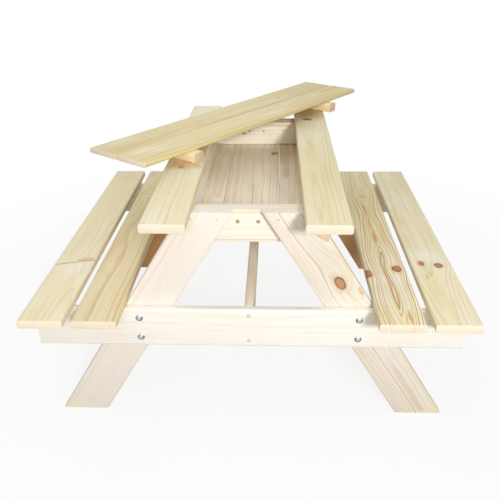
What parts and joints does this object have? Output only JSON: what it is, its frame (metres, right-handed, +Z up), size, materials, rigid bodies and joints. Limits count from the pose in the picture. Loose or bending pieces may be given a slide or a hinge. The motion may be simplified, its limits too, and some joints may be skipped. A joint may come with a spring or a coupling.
{
  "type": "picnic table",
  "caption": "Low pine picnic table for children: splayed end frames carry bench planks and a tabletop with a storage box in its middle, under a loose board lid lying askew.",
  "frame": {"origin": "on the floor, under the middle of the bounding box of the table with its lid lying askew", "axes": "+X to the right across the benches, +Y away from the near end along the planks, +Z up"},
  "size_m": [0.89, 1.0116, 0.5366],
  "materials": {
    "pine": "planed, unfinished",
    "pine_end_frames": "planed, unfinished",
    "pine_box": "planed, unfinished",
    "pine_lid": "planed, unfinished",
    "zinc_plated_steel": "zinc plated, satin"
  },
  "bodies": {
    "table": {"seat_plank_left_outer": "pine", "seat_plank_left_inner": "pine", "seat_plank_right_inner": "pine", "seat_plank_right_outer": "pine", "tabletop_plank_left": "pine", "tabletop_plank_right": "pine", "crossbar_near": "pine_end_frames", "crossbar_far": "pine_end_frames", "leg_near_left": "pine_end_frames", "leg_near_right": "pine_end_frames", "leg_far_left": "pine_end_frames", "leg_far_right": "pine_end_frames", "stretcher": "pine_end_frames", "box_end_near": "pine_box", "box_end_far": "pine_box", "box_rail_near": "pine_box", "box_rail_far": "pine_box", "box_side_left": "pine_box", "box_side_right": "pine_box", "box_floor_slat_1": "pine_box", "box_floor_slat_2": "pine_box", "box_floor_slat_3": "pine_box", "box_floor_slat_4": "pine_box", "carriage_bolt_near_left_lower": "zinc_plated_steel", "carriage_bolt_near_left_upper": "zinc_plated_steel", "carriage_bolt_near_right_lower": "zinc_plated_steel", "carriage_bolt_near_right_upper": "zinc_plated_steel", "carriage_bolt_far_left_lower": "zinc_plated_steel", "carriage_bolt_far_left_upper": "zinc_plated_steel", "carriage_bolt_far_right_lower": "zinc_plated_steel", "carriage_bolt_far_right_upper": "zinc_plated_steel", "bolt_washer_near_left_lower": "zinc_plated_steel", "bolt_washer_near_left_upper": "zinc_plated_steel", "bolt_washer_near_right_lower": "zinc_plated_steel", "bolt_washer_near_right_upper": "zinc_plated_steel", "bolt_washer_far_left_lower": "zinc_plated_steel", "bolt_washer_far_left_upper": "zinc_plated_steel", "bolt_washer_far_right_lower": "zinc_plated_steel", "bolt_washer_far_right_upper": "zinc_plated_steel", "bolt_nut_near_left_lower": "zinc_plated_steel", "bolt_nut_near_left_upper": "zinc_plated_steel", "bolt_nut_near_right_lower": "zinc_plated_steel", "bolt_nut_near_right_upper": "zinc_plated_steel", "bolt_nut_far_left_lower": "zinc_plated_steel", "bolt_nut_far_left_upper": "zinc_plated_steel", "bolt_nut_far_right_lower": "zinc_plated_steel", "bolt_nut_far_right_upper": "zinc_plated_steel", "stretcher_screw_near_lower": "zinc_plated_steel", "stretcher_screw_near_upper": "zinc_plated_steel", "stretcher_screw_far_lower": "zinc_plated_steel", "stretcher_screw_far_upper": "zinc_plated_steel", "box_end_screw_near_left": "zinc_plated_steel", "box_end_screw_near_right": "zinc_plated_steel", "box_end_screw_far_left": "zinc_plated_steel", "box_end_screw_far_right": "zinc_plated_steel"},
    "lid": {"lid_plank_rear": "pine_lid", "lid_plank_front": "pine_lid", "lid_batten_near": "pine_lid", "lid_batten_far": "pine_lid"}
  },
  "joints": [
    {"name": "lid_lift", "type": "slide", "parent": "table", "child": "lid", "axis": [0, 0, 1], "range_m": [0, 0.3]}
  ]
}
